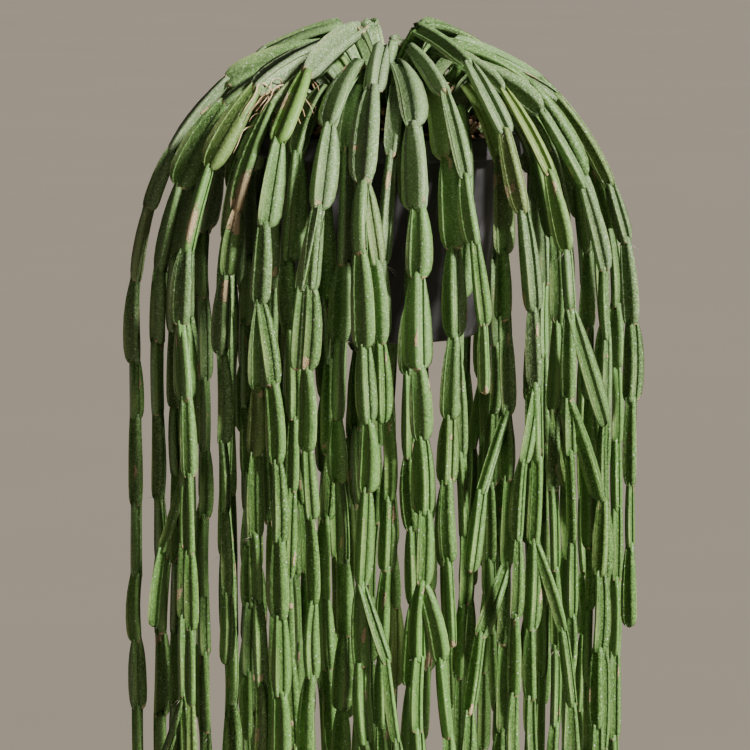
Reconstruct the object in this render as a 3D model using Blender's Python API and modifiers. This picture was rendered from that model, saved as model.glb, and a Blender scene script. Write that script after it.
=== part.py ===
"""Rhipsalis paradoxa (chain cactus) growing in a plastic pot that hangs.

Units are metres and +Z is up.  The origin is the centre of the pot's rim plane,
the front of the plant faces -Y, and the stems hang below the rim on every side.
"""

import math

import bmesh
import bpy
import numpy as np

MM = 0.001

# ---- pot ---------------------------------------------------------------------
RIM_RADIUS = 75.0 * MM
LIP_WIDTH = 6.0 * MM
LIP_HEIGHT = 12.0 * MM
LIP_THICKNESS = 2.0 * MM
WALL = 1.6 * MM
POT_HEIGHT = 113.0 * MM
BASE_RADIUS = 50.0 * MM
FOOT_RADIUS = 38.0 * MM
FOOT_RECESS = 3.0 * MM
POT_SIDES = 48
HANGER_HOLE = 3.2 * MM
HANGER_CIRCLE = RIM_RADIUS - LIP_THICKNESS - 2.0 * MM
HANGER_HOLES = 3
DRAIN_HOLE = 9.0 * MM
DRAIN_CIRCLE = 26.0 * MM
DRAIN_HOLES = 6
HOLE_SIDES = 20

# ---- potting mix ---------------------------------------------------------------
GAP = 0.3 * MM
MIX_CENTRE = 15.0 * MM
MIX_EDGE = -5.0 * MM
MIX_RADIUS = RIM_RADIUS - LIP_WIDTH - WALL - 1.4 * MM
MIX_SIDES = 40

# ---- stems -----------------------------------------------------------------------
SEGMENT = 42.0 * MM
LONG_SEGMENT = 51.0 * MM
LONG_SEGMENTS = 2
ARCHED_SEGMENTS = 3
LENGTH_JITTER = 0.13
SHOULDER_AT = 0.72
BELLY_AT = 0.36
STEM_RADIUS = 6.6 * MM
NECK_RADIUS = 3.2 * MM
TIP_RADIUS = 3.0 * MM
YOUNG_SCALE = (0.56, 0.82)
RNG_SEED = 7

# Each ring of stems leaves the mix at its own radius, arches over its own crest
# and falls to the radius at which it hangs: (base radius, crest radius, crest
# height, fall height), in mm.
RINGS = (
    (9.0, 31.0, 57.0, 154.0),
    (20.0, 39.0, 47.0, 150.0),
    (31.0, 49.0, 38.0, 138.0),
    (42.0, 59.0, 25.5, 114.0),
    (56.0, 70.5, 14.5, 72.0),
)
TALL_PLACES = (4, 9, 17, 22, 26)

# Outer curtain, from the left side round the front to the right side:
# (azimuth in degrees, hanging radius in mm, depth of the tip in mm).
# Azimuth 0 is the front, and positive azimuths lie to the right.
OUTER_FRONT = (
    (-92, 142, 452),
    (-76, 131, 408),
    (-62, 127, 438),
    (-48, 120, 285),
    (-34, 126, 461),
    (-20, 123, 417),
    (-6, 126, 444),
    (8, 123, 398),
    (23, 127, 131),
    (36, 133, 431),
    (50, 129, 457),
    (64, 132, 420),
    (75, 124, 389),
    (87, 136, 278),
)
MIDDLE_FRONT = (
    (-84, 112, 395),
    (-57, 106, 450),
    (-31, 102, 372),
    (-14, 105, 436),
    (-1, 103, 404),
    (18, 108, 271),
    (35, 110, 447),
    (58, 108, 412),
)
INNER_FRONT = (
    (-73, 91, 362),
    (-46, 89, 425),
    (-22, 88, 333),
    (8, 88, 381),
    (26, 90, 428),
    (70, 91, 350),
)

# The back half of each curtain: number of stems, azimuths of the first and the last,
# the hanging radii that they take in turn, and the depth about which their tips wander.
OUTER_BACK = (14, 99.0, 257.0, (131, 124, 136), 420.0)
MIDDLE_BACK = (8, 105.0, 252.0, (105, 110), 400.0)
INNER_BACK = (7, 115.5, 241.5, (91, 88), 370.0)
DEPTH_WANDER = 34.0
CREST_STEP = 39

# Side shoots and forks: (curtain, place in its table, joint they leave, degrees that they
# lean sideways and forwards, number of segments, length of the first one in mm).
SIDE_SHOOTS = (
    ("outer", 2, 7, -14, 12, 2, 45),
    ("outer", 2, 10, -14, 14, 2, 44),
    ("middle", 6, 5, -28, 8, 2, 46),
    ("middle", 6, 7, -30, 8, 3, 42),
    ("outer", 10, 5, 14, 10, 1, 66),
    ("outer", 10, 6, 16, 10, 1, 58),
    ("outer", 9, 8, 14, 12, 3, 50),
    ("outer", 6, 8, 20, 14, 3, 44),
    ("outer", 5, 3, -9, 9, 2, 44),
    ("outer", 6, 3, 9, 6, 3, 44),
    ("outer", 2, 5, 16, 4, 6, 42),
    ("outer", 4, 5, 13, 4, 7, 44),
    ("outer", 7, 8, 13, 4, 4, 42),
    ("outer", 9, 6, -15, 4, 6, 42),
    ("outer", 11, 7, -14, 4, 5, 40),
    ("middle", 1, 6, 10, 3, 5, 42),
    ("middle", 7, 5, 12, 3, 6, 42),
    ("outer", 15, 6, -11, 5, 6, 42),
    ("outer", 17, 5, 14, 4, 6, 44),
    ("outer", 19, 7, -15, 6, 4, 42),
    ("outer", 21, 5, 10, 5, 6, 40),
    ("outer", 24, 6, -10, 5, 6, 42),
    ("outer", 26, 8, 14, 6, 3, 44),
    ("middle", 10, 5, 12, 3, 6, 42),
    ("middle", 13, 6, -12, 3, 5, 42),
)


def mix_height(radius):
    """Height of the heaped mix at a distance from the pot's axis."""
    return MIX_CENTRE + (MIX_EDGE - MIX_CENTRE) * (radius / MIX_RADIUS) ** 2


def spread_back(count, first, last, radii, depth):
    """Stems of the back half: even azimuths, radii that take turns, depths that wander."""
    return [(azimuth, radii[place % len(radii)], depth + DEPTH_WANDER * math.sin(2.3 * place + first))
            for place, azimuth in enumerate(np.linspace(first, last, count))]


def curtains():
    """Every stem of the three curtains, front and back, in order of azimuth."""
    return {
        "outer": list(OUTER_FRONT) + spread_back(*OUTER_BACK),
        "middle": list(MIDDLE_FRONT) + spread_back(*MIDDLE_BACK),
        "inner": list(INNER_FRONT) + spread_back(*INNER_BACK),
    }


def ring_of(curtain, place):
    """The ring from which a stem grows: a few of the outer curtain arch high over the rest."""
    if curtain == "outer":
        return RINGS[0] if place in TALL_PLACES else RINGS[1 + place % 2]
    return RINGS[3] if curtain == "middle" else RINGS[4]


def arch(ring, base_azimuth, azimuth, hang_radius, depth, rng):
    """Fine points along a stem's middle: up out of the mix, over its crest, and straight down."""
    base_radius, crest_radius, crest, fall = (value * MM for value in ring)
    foot = mix_height(base_radius - NECK_RADIUS) + GAP
    turn = np.linspace(0.0, math.pi / 2.0, CREST_STEP + 1)
    rise_r = crest_radius - (crest_radius - base_radius) * np.cos(turn)
    rise_z = foot + (crest - foot) * np.sin(turn)
    fall_r = crest_radius + (hang_radius - crest_radius) * np.sin(turn)
    fall_z = crest - fall * (1.0 - np.cos(turn))
    hang_z = np.linspace(crest - fall, -depth, 60)
    radius = np.concatenate([rise_r, fall_r[1:], np.full(59, hang_radius)])
    height = np.concatenate([rise_z, fall_z[1:], hang_z[1:]])
    reach = np.clip((radius - base_radius) / (hang_radius - base_radius), 0.0, 1.0)
    angle = np.radians(base_azimuth + (azimuth - base_azimuth) * reach)
    wave = 2.0 * MM * reach * np.sin(height / (34.0 * MM) + rng.uniform(0.0, 6.3))
    angle = angle + wave / np.maximum(radius, 20.0 * MM)
    return np.stack([radius * np.sin(angle), -radius * np.cos(angle), height], axis=1)


def stations(count):
    """Places along a chain of segments: joint, belly and shoulder of each one, then the tip."""
    steps = [segment + part for segment in range(count) for part in (0.0, BELLY_AT, SHOULDER_AT)]
    return np.array(steps + [count], float)


def joint_places(rise, length, rng):
    """Distances of the joints along a stem: one at the crest, long segments after it, then even ones."""
    long_end = rise + LONG_SEGMENTS * LONG_SEGMENT
    short_count = max(1, round((length - long_end) / SEGMENT))
    first = [0.0] + [rise + place * LONG_SEGMENT for place in range(LONG_SEGMENTS)]
    joints = np.concatenate([first, np.linspace(long_end, length, short_count + 1)])
    joints[2:-1] += rng.uniform(-1.0, 1.0, len(joints) - 3) * LENGTH_JITTER * SEGMENT
    return joints


def chain(curve, rng):
    """Points and radii at the stations of a stem that follows a fine curve."""
    run = np.concatenate([[0.0], np.cumsum(np.linalg.norm(np.diff(curve, axis=0), axis=1))])
    joints = joint_places(run[CREST_STEP], run[-1], rng)
    count = len(joints) - 1
    steps = stations(count)
    along = np.interp(steps, np.arange(count + 1), joints)
    points = np.stack([np.interp(along, run, curve[:, axis]) for axis in range(3)], axis=1)
    return points, chain_radii(count, YOUNG_SCALE)


def chain_radii(count, young):
    """Radius at each station; the segments nearest to the mix are the slenderest."""
    scale = np.ones(count)
    scale[:len(young)] = young[:count]
    rows = np.outer(scale, [NECK_RADIUS, 0.86 * STEM_RADIUS, STEM_RADIUS])
    rows[:, 0] = NECK_RADIUS * np.minimum(scale, np.roll(scale, 1))
    rows[0, 0] = NECK_RADIUS * young[0] if young else NECK_RADIUS
    return np.append(rows.ravel(), TIP_RADIUS)


def shoot_chain(stem, joint, lean, forward, count, first_length):
    """Points and radii of a side shoot that leaves a joint leaning, then hangs ever straighter."""
    start = stem["points"][3 * joint]
    outward = np.array([start[0], start[1], 0.0]) / np.linalg.norm(start[:2])
    sideways = np.array([-outward[1], outward[0], 0.0])
    corners = [start]
    for segment in range(count):
        ease = 0.4 ** segment
        length = first_length * MM if segment == 0 else SEGMENT
        side = math.tan(math.radians(lean * ease))
        front = math.tan(math.radians(forward * ease))
        way = sideways * side + outward * front - np.array([0.0, 0.0, 1.0])
        corners.append(corners[-1] + length * way / np.linalg.norm(way))
    steps = stations(count)
    points = np.stack([np.interp(steps, range(count + 1), np.array(corners)[:, axis])
                       for axis in range(3)], axis=1)
    return points, chain_radii(count, ())


def all_stems():
    """Every stem and side shoot, numbered from the left side round the front."""
    rng = np.random.default_rng(RNG_SEED)
    stems = []
    for curtain, rows in curtains().items():
        azimuths = np.array([row[0] for row in rows], float)
        even = np.arange(len(rows)) * 360.0 / len(rows)
        even += np.mean(azimuths - even)
        for place, (azimuth, hang_radius, depth) in enumerate(rows):
            ring = ring_of(curtain, place)
            curve = arch(ring, even[place], azimuth, hang_radius * MM, depth * MM, rng)
            points, radii = chain(curve, rng)
            stems.append({"label": (curtain, place), "owner": len(stems), "points": points, "radii": radii})
    by_label = {stem["label"]: stem for stem in stems}
    for curtain, place, *numbers in SIDE_SHOOTS:
        parent = by_label[curtain, place]
        points, radii = shoot_chain(parent, *numbers)
        stems.append({"label": ("shoot of",) + parent["label"], "owner": parent["owner"],
                      "points": points, "radii": radii})
    return stems


# ---- building --------------------------------------------------------------------
def material(name, colour, roughness):
    """A plain Principled material."""
    made = bpy.data.materials.new(name)
    made.use_nodes = True
    shader = made.node_tree.nodes["Principled BSDF"]
    shader.inputs["Base Color"].default_value = (*colour, 1.0)
    shader.inputs["Roughness"].default_value = roughness
    shader.inputs["Metallic"].default_value = 0.0
    return made


def add_object(name, data, collection, look=None):
    """Links a new object that shows the given mesh or curve."""
    made = bpy.data.objects.new(name, data)
    collection.objects.link(made)
    if look is not None:
        data.materials.append(look)
    return made


def hide_tool(tool):
    """Marks an object as a cutter or guide that isn't part of the model."""
    tool.hide_render = True
    tool.display_type = "WIRE"


def boolean(target, tool, operation):
    """Joins or cuts a target with a tool."""
    modifier = target.modifiers.new(operation.title(), "BOOLEAN")
    modifier.operation = operation
    modifier.object = tool


def turned(name, outline, sides, collection, look):
    """A solid turned about +Z from an outline that starts and ends on the axis."""
    mesh = bpy.data.meshes.new(name)
    bm = bmesh.new()
    verts = [bm.verts.new((radius, 0.0, height)) for radius, height in outline]
    for first, second in zip(verts, verts[1:]):
        bm.edges.new((first, second))
    bm.to_mesh(mesh)
    bm.free()
    made = add_object(name, mesh, collection, look)
    screw = made.modifiers.new("Turn", "SCREW")
    screw.steps = sides
    screw.render_steps = sides
    screw.use_merge_vertices = True
    screw.merge_threshold = 0.01 * MM
    screw.use_smooth_shade = True
    return made


def drill(target, name, radius, circle, count, height, cutters):
    """Drills a ring of upright holes through a target."""
    for place in range(count):
        angle = 2.0 * math.pi * (place + 0.5) / count
        bpy.ops.mesh.primitive_cylinder_add(
            vertices=HOLE_SIDES, radius=radius, depth=4.0 * LIP_THICKNESS,
            location=(circle * math.cos(angle), circle * math.sin(angle), height))
        tool = bpy.context.object
        tool.name = f"{name}_{place + 1}"
        for collection in list(tool.users_collection):
            collection.objects.unlink(tool)
        cutters.objects.link(tool)
        hide_tool(tool)
        boolean(target, tool, "DIFFERENCE")


def build_pot(parts, cutters):
    """The moulded pot: tapered wall, turned-down lip, footed base, and its two rings of holes."""
    top = RIM_RADIUS - LIP_WIDTH
    floor = -POT_HEIGHT + FOOT_RECESS
    outline = (
        (0.0, floor + WALL),
        (BASE_RADIUS - WALL - 1.5 * MM, floor + WALL),
        (BASE_RADIUS - WALL + 0.6 * MM, floor + WALL + 3.0 * MM),
        (top - WALL, -LIP_THICKNESS),
        (top - WALL + 1.0 * MM, 0.0),
        (RIM_RADIUS - 1.0 * MM, 0.0),
        (RIM_RADIUS, -1.0 * MM),
        (RIM_RADIUS, -LIP_HEIGHT),
        (RIM_RADIUS - LIP_THICKNESS, -LIP_HEIGHT),
        (RIM_RADIUS - LIP_THICKNESS, -LIP_THICKNESS),
        (top, -LIP_THICKNESS),
        (BASE_RADIUS + 0.8 * MM, -POT_HEIGHT + 5.0 * MM),
        (BASE_RADIUS, -POT_HEIGHT + 1.5 * MM),
        (BASE_RADIUS - 1.5 * MM, -POT_HEIGHT),
        (FOOT_RADIUS, -POT_HEIGHT),
        (FOOT_RADIUS - 2.0 * MM, floor),
        (0.0, floor),
    )
    look = material("pot plastic", (0.021, 0.020, 0.024), 0.55)
    pot = turned("pot", outline, POT_SIDES, parts, look)
    drill(pot, "hanger_hole", HANGER_HOLE / 2.0, HANGER_CIRCLE, HANGER_HOLES, 0.0, cutters)
    drill(pot, "drain_hole", DRAIN_HOLE / 2.0, DRAIN_CIRCLE, DRAIN_HOLES, floor, cutters)


def build_mix(parts):
    """The root ball: a heaped top, and sides that follow the pot's wall just clear of it."""
    floor = -POT_HEIGHT + FOOT_RECESS + WALL
    top = [(radius, mix_height(radius)) for radius in np.linspace(0.0, MIX_RADIUS, 8)]
    sides = [
        (BASE_RADIUS - WALL + 0.2 * MM, floor + 3.2 * MM),
        (BASE_RADIUS - WALL - 1.8 * MM, floor + GAP),
        (0.0, floor + GAP),
    ]
    look = material("potting mix", (0.035, 0.022, 0.014), 0.95)
    turned("potting_mix", top + sides, MIX_SIDES, parts, look)


def wing_section(cutters):
    """The three-winged cross-section that every stem is swept with, one metre from middle to tip."""
    data = bpy.data.curves.new("wing_section", "CURVE")
    data.dimensions = "2D"
    spline = data.splines.new("POLY")
    spline.points.add(2)
    for place, point in enumerate(spline.points):
        angle = -2.0 * math.pi * place / 3.0
        point.co = (math.cos(angle), math.sin(angle), 0.0, 1.0)
    spline.use_cyclic_u = True
    section = add_object("wing_section", data, cutters)
    hide_tool(section)
    return section


def stem_curve(name, stem, section, collection, look):
    """One stem: a ring at each joint and each shoulder, the wings turning 60 degrees per segment.

    The segments that arch over the crown have a ring at the belly too.
    """
    data = bpy.data.curves.new(name, "CURVE")
    data.dimensions = "3D"
    data.bevel_mode = "OBJECT"
    data.bevel_object = section
    data.use_fill_caps = True
    data.resolution_u = 1
    data.render_resolution_u = 0
    arched = 3 * ARCHED_SEGMENTS
    rings = [place for place in range(len(stem["points"])) if place % 3 != 1 or place < arched]
    spline = data.splines.new("POLY")
    spline.points.add(len(rings) - 1)
    for point, place in zip(spline.points, rings):
        point.co = (*stem["points"][place], 1.0)
        point.radius = stem["radii"][place]
        point.tilt = math.radians(60.0) * (place // 3 - (0.5 if place % 3 == 0 else 0.0))
    return add_object(name, data, collection, look)


def as_mesh(curve, collection, look):
    """Replaces a curve object by a mesh with its caps welded."""
    name = curve.name
    depsgraph = bpy.context.evaluated_depsgraph_get()
    mesh = bpy.data.meshes.new_from_object(curve.evaluated_get(depsgraph))
    bm = bmesh.new()
    bm.from_mesh(mesh)
    bmesh.ops.remove_doubles(bm, verts=bm.verts, dist=0.01 * MM)
    bmesh.ops.recalc_face_normals(bm, faces=bm.faces)
    bm.to_mesh(mesh)
    bm.free()
    matrix = curve.matrix_world.copy()
    bpy.data.objects.remove(curve)
    made = add_object(name, mesh, collection)
    made.matrix_world = matrix
    if not mesh.materials:
        mesh.materials.append(look)
    return made


def build_stems(parts, cutters):
    """Every stem from its foot in the mix to its tip, with the side shoots that grow on it."""
    look = material("stem skin", (0.11, 0.19, 0.075), 0.5)
    section = wing_section(cutters)
    stems = all_stems()
    shoots = [stem for stem in stems if stem["label"][0] == "shoot of"]
    for number, stem in enumerate(stems[:len(stems) - len(shoots)]):
        name = f"stem_{number + 1:02d}"
        made = stem_curve(name, stem, section, parts, look)
        own = [shoot for shoot in shoots if shoot["owner"] == stem["owner"]]
        if own:
            made = as_mesh(made, parts, look)
        for place, shoot in enumerate(own):
            tool = stem_curve(f"{name}_shoot_{place + 1}", shoot, section, cutters, look)
            tool = as_mesh(tool, cutters, look)
            hide_tool(tool)
            boolean(made, tool, "UNION")


def main():
    """Clears the scene and builds the plant in its pot."""
    for old in list(bpy.data.objects):
        bpy.data.objects.remove(old)
    parts = bpy.data.collections.new("rhipsalis_in_hanging_pot")
    cutters = bpy.data.collections.new("cutters")
    bpy.context.scene.collection.children.link(parts)
    bpy.context.scene.collection.children.link(cutters)
    build_pot(parts, cutters)
    build_mix(parts)
    build_stems(parts, cutters)


main()
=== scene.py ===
"""Chain cactus (Rhipsalis paradoxa) in a plastic hanging pot: the finished surfaces.

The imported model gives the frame: metres, +Z up, the origin at the centre of the pot's rim
and the front of the plant towards -Y.  Each operator builds one piece, or one group of like
pieces, as surfaces worked out with numpy: a turned pot, a heaped root ball with bark and
roots, the jointed three-winged stems, the bristles at their joints, and the stage.
"""

import math

import bmesh
import bpy
import numpy as np
from bpy.props import FloatProperty, FloatVectorProperty, IntProperty, PointerProperty
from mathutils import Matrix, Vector


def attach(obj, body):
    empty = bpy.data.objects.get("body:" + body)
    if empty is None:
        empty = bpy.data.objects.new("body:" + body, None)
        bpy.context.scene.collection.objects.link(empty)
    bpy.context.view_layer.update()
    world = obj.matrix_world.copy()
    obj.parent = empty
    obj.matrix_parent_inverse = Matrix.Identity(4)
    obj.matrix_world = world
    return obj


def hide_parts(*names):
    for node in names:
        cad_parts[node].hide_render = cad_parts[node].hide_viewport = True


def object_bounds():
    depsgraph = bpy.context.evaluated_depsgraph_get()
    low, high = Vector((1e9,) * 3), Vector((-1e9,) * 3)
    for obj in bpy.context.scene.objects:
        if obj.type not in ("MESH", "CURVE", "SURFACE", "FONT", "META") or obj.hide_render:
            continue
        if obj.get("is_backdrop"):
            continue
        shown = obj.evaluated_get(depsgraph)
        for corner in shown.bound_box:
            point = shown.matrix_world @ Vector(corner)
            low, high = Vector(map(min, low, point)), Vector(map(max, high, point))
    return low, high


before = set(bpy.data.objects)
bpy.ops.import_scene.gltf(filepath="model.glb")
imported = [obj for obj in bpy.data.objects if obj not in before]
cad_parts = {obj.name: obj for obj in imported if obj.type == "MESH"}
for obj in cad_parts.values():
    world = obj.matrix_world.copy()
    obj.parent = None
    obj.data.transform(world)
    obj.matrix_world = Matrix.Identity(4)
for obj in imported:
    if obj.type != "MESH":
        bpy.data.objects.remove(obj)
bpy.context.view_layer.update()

bl_info = {
    "name": "Chain Cactus in a Hanging Pot",
    "version": (1, 0, 0),
    "blender": (4, 5, 0),
    "location": "3D View > Sidebar > Chain Cactus",
    "description": "Builds a trailing chain cactus, its root ball and its pot",
    "category": "Add Mesh",
}

MM = 0.001
BODY = "root"


# ---- small helpers ----
def linear(hex_colour):
    """Linear red, green and blue of an sRGB hex colour."""
    parts = np.array([int(hex_colour[place:place + 2], 16) for place in (0, 2, 4)]) / 255.0
    curve = np.where(parts <= 0.04045, parts / 12.92, ((parts + 0.055) / 1.055) ** 2.4)
    return tuple(float(part) for part in curve)


def unit(vectors):
    """Vectors scaled to length one along the last axis."""
    return vectors / (np.linalg.norm(vectors, axis=-1, keepdims=True) + 1e-12)


def smooth_step(value, low, high):
    """0 below low, 1 above high, and the cubic 3t^2 - 2t^3 between them."""
    t = np.clip((value - low) / (high - low), 0.0, 1.0)
    return t * t * (3.0 - 2.0 * t)


def ripple(points, size, seed, waves=7):
    """Soft random relief from -1 to 1: the mean of sines along random directions.

    Each wave is sin(k . p + phase), where k has a random direction and a length of
    two pi over a wavelength between 0.7 and 1.6 times size.
    """
    rng = np.random.default_rng(seed)
    ways = unit(rng.normal(size=(waves, 3)))
    lengths = size * rng.uniform(0.7, 1.6, waves)
    phases = rng.uniform(0.0, 2.0 * math.pi, waves)
    total = np.sin(points @ (ways * (2.0 * math.pi / lengths)[:, None]).T + phases).sum(axis=-1)
    return total / math.sqrt(waves)


def grid_faces(rows, columns, closed):
    """Quads of a grid of rows by columns whose columns may close round."""
    across = np.arange(columns if closed else columns - 1)
    down = np.arange(rows - 1)[:, None] * columns
    after = (across + 1) % columns
    quads = np.stack([down + across, down + after, down + columns + after, down + columns + across],
                     axis=-1)
    return quads.reshape(-1, 4)


def make_piece(name, points, faces, look, attributes=None, smooth=True):
    """A mesh object from an array of points and lists of faces, riding on the pot's body."""
    mesh = bpy.data.meshes.new(name)
    mesh.from_pydata(points.reshape(-1, 3).tolist(), [], faces)
    for key, values in (attributes or {}).items():
        layer = mesh.attributes.new(key, "FLOAT", "POINT")
        layer.data.foreach_set("value", np.ascontiguousarray(values, dtype=np.float32).ravel())
    mesh.polygons.foreach_set("use_smooth", [smooth] * len(mesh.polygons))
    mesh.materials.append(look)
    mesh.update()
    piece = bpy.data.objects.new(name, mesh)
    bpy.context.scene.collection.objects.link(piece)
    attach(piece, BODY)
    return piece


# ---- materials ----
def rgba(hex_colour):
    """Linear colour with full alpha of an sRGB hex colour."""
    return (*linear(hex_colour), 1.0)


def fill_inputs(tree, node, inputs):
    """Fills a node's inputs with values or links."""
    for key, value in inputs.items():
        if isinstance(value, bpy.types.NodeSocket):
            tree.links.new(value, node.inputs[key])
        else:
            node.inputs[key].default_value = value


def add_node(tree, kind, inputs, output=0, **settings):
    """Adds a node, sets its properties, fills its inputs with values or links; gives one output."""
    node = tree.nodes.new(kind)
    for key, value in settings.items():
        setattr(node, key, value)
    fill_inputs(tree, node, inputs)
    return node.outputs[output]


def new_look(name):
    """A material, its node tree, its Principled shader and its Object coordinates."""
    look = bpy.data.materials.new(name)
    look.use_nodes = True
    tree = look.node_tree
    place = add_node(tree, "ShaderNodeTexCoord", {}, "Object")
    return look, tree, tree.nodes["Principled BSDF"], place


def stem_skin_look(settings):
    """Living cactus skin under a thin wax: green flesh, a painted highlight along the wing ridges, chalky
    scale, corky scars.

    The cuticle grows smooth and slightly waxy, so it has a wide, dull gloss, which goes where
    scale and dust lie.  Its pores are under 0.1 mm across and couldn't be seen, so the
    speckle is drawn at about 0.9 mm.  Pock scars are 1 to 2 mm across.
    """
    look, tree, shader, place = new_look("Waxy cactus skin")
    tone, dust, scar, gold, ridge, end = (
        add_node(tree, "ShaderNodeAttribute", {}, "Fac", attribute_name=name)
        for name in ("tone", "dust", "scar", "gold", "ridge", "end"))
    patches, mottle, speckle = (
        add_node(tree, "ShaderNodeTexNoise",
                 {"Vector": place, "Scale": 1.0 / (size * MM), "Detail": detail, "Roughness": rough})
        for size, detail, rough in ((11.0, 3.0, 0.5), (2.4, 4.0, 0.62), (0.9, 2.0, 0.7)))
    pocks, chance, salt = (
        add_node(tree, "ShaderNodeTexVoronoi", {"Vector": place, "Scale": 1.0 / (size * MM)}, output)
        for size, output in ((17.0, "Distance"), (17.0, "Color"), (3.6, "Distance")))
    depth = add_node(tree, "ShaderNodeMath", {0: patches, 1: 0.55, 2: tone}, operation="MULTIPLY_ADD")
    depth, pale, film, grains, bleach, pocks, salt, rough = (
        add_node(tree, "ShaderNodeMapRange",
                 {"Value": value, "From Min": low, "From Max": high, "To Min": least, "To Max": most})
        for value, low, high, least, most in (
            (depth, 0.35, 1.25, 0.0, 1.0), (speckle, 0.42, 0.62, 0.0, 0.75),
            (mottle, 0.3, 0.65, 0.15, 0.72), (speckle, 0.54, 0.64, 0.0, 0.8),
            (mottle, 0.25, 0.6, 0.5, 1.0), (pocks, 0.07, 0.11, 1.0, 0.0),
            (salt, 0.09, 0.13, 1.0, 0.0), (mottle, 0.2, 0.8, 0.38, 0.5)))
    # edge: a pale line painted along each wing's ridge as a painted highlight.
    edge = add_node(tree, "ShaderNodeMapRange",
                    {"Value": ridge, "From Min": 0.78, "From Max": 0.98, "To Max": 0.42},
                    interpolation_type="SMOOTHSTEP")

    chance = add_node(tree, "ShaderNodeSeparateColor", {"Color": chance}, "Red")
    chance = add_node(tree, "ShaderNodeMath", {0: chance, 1: 0.86}, operation="GREATER_THAN")
    joint, film, grains, bleach, pocks = (
        add_node(tree, "ShaderNodeMath", {0: cover, 1: share}, operation="MULTIPLY")
        for cover, share in ((end, 0.18), (film, dust), (grains, dust), (bleach, gold), (pocks, chance)))
    ragged = add_node(tree, "ShaderNodeMath", {0: mottle, 1: 0.9, 2: scar}, operation="MULTIPLY_ADD")
    corky = add_node(tree, "ShaderNodeMapRange", {"Value": ragged, "From Min": 0.92, "From Max": 1.02})
    corky = add_node(tree, "ShaderNodeMath", {0: corky, 1: pocks}, operation="MAXIMUM", use_clamp=True)
    cork = add_node(tree, "ShaderNodeMix", {0: speckle, 6: rgba("A58D66"), 7: (*settings.cork, 1.0)}, 2,
                    data_type="RGBA")

    base = (*settings.deep_green, 1.0)
    for cover, colour in (
            (depth, (*settings.fresh_green, 1.0)), (pale, (*settings.pale_green, 1.0)),
            (edge, (*settings.ridge_highlight_green, 1.0)), (joint, (*settings.deep_green, 1.0)),
            (film, (*settings.chalk, 1.0)), (grains, rgba("C6CBBB")),
            (bleach, (*settings.yellowed, 1.0)), (corky, cork), (salt, rgba("D5DACB"))):
        base = add_node(tree, "ShaderNodeMix", {0: cover, 6: base, 7: colour}, 2, data_type="RGBA")
    for cover, share in ((dust, 0.25), (corky, 0.3)):
        rough = add_node(tree, "ShaderNodeMath", {0: cover, 1: share, 2: rough},
                         operation="MULTIPLY_ADD", use_clamp=True)
    grain = add_node(tree, "ShaderNodeBump", {"Height": mottle, "Strength": 0.6, "Distance": 0.5 * MM})
    crust = add_node(tree, "ShaderNodeMath", {0: corky, 1: speckle}, operation="MULTIPLY")
    crust = add_node(tree, "ShaderNodeBump",
                     {"Height": crust, "Strength": 0.9, "Distance": 0.8 * MM, "Normal": grain})
    fill_inputs(tree, shader, {"Base Color": base, "Roughness": rough, "IOR": 1.42, "Normal": crust})
    return look


def pot_plastic_look(settings):
    """Injection-moulded polypropylene, matt and dark, with a film of lime and dust.

    The mould leaves a fine even grain, drawn at 0.9 mm so that it shows, and hard water leaves
    pale blotches on the wall; the pale upright streaks are painted sunlight falling between the stems'
    shadows.
    """
    look, tree, shader, place = new_look("Moulded black polypropylene")
    upright = add_node(tree, "ShaderNodeMapping", {"Vector": place, "Scale": (1.0, 1.0, 0.12)})
    # runs: noise stretched upright, the mask of the painted sunlit streaks on the wall.
    film, runs, grain = (
        add_node(tree, "ShaderNodeTexNoise",
                 {"Vector": where, "Scale": 1.0 / (size * MM), "Detail": detail, "Roughness": rough})
        for where, size, detail, rough in (
            (place, 16.0, 5.0, 0.62), (upright, 5.0, 3.0, 0.6), (place, 0.9, 2.0, 0.5)))
    lime, painted_sunlit_streaks, rough = (
        add_node(tree, "ShaderNodeMapRange",
                 {"Value": value, "From Min": low, "From Max": high, "To Min": least, "To Max": most})
        for value, low, high, least, most in (
            (film, 0.35, 0.75, 0.0, 0.5), (runs, 0.55, 0.8, 0.0, 0.35), (film, 0.3, 0.7, 0.42, 0.66)))
    base = (*settings.plastic, 1.0)
    # 77747A paints pale sunlit streaks on the wall: painted light between the stems' shadows.
    for cover, colour in ((lime, (*settings.lime_film, 1.0)), (painted_sunlit_streaks, rgba("77747A"))):
        base = add_node(tree, "ShaderNodeMix", {0: cover, 6: base, 7: colour}, 2, data_type="RGBA")
    grain = add_node(tree, "ShaderNodeBump", {"Height": grain, "Strength": 0.25, "Distance": 0.25 * MM})
    fill_inputs(tree, shader, {"Base Color": base, "Roughness": rough, "IOR": 1.49, "Normal": grain})
    return look


def potting_mix_look():
    """Peat with coir dust, sieved and watered in: crumbly, nearly black where wet, brown where dry."""
    look, tree, shader, place = new_look("Peat and coir mix")
    crumbs, damp, flecks = (
        add_node(tree, "ShaderNodeTexNoise",
                 {"Vector": place, "Scale": 1.0 / (size * MM), "Detail": detail, "Roughness": rough})
        for size, detail, rough in ((2.4, 6.0, 0.7), (18.0, 3.0, 0.5), (1.1, 2.0, 0.5)))
    base = rgba("1D140E")
    for value, low, high, most, colour in (
            (crumbs, 0.3, 0.7, 1.0, "5A4330"),
            (damp, 0.4, 0.65, 0.6, "15100C"),
            (flecks, 0.66, 0.74, 0.8, "A98C63")):
        cover = add_node(tree, "ShaderNodeMapRange",
                         {"Value": value, "From Min": low, "From Max": high, "To Max": most})
        base = add_node(tree, "ShaderNodeMix", {0: cover, 6: base, 7: rgba(colour)}, 2, data_type="RGBA")
    rubble = add_node(tree, "ShaderNodeBump", {"Height": crumbs, "Strength": 1.0, "Distance": 1.6 * MM})
    fill_inputs(tree, shader, {"Base Color": base, "Roughness": 0.95, "IOR": 1.35, "Normal": rubble})
    return look


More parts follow.
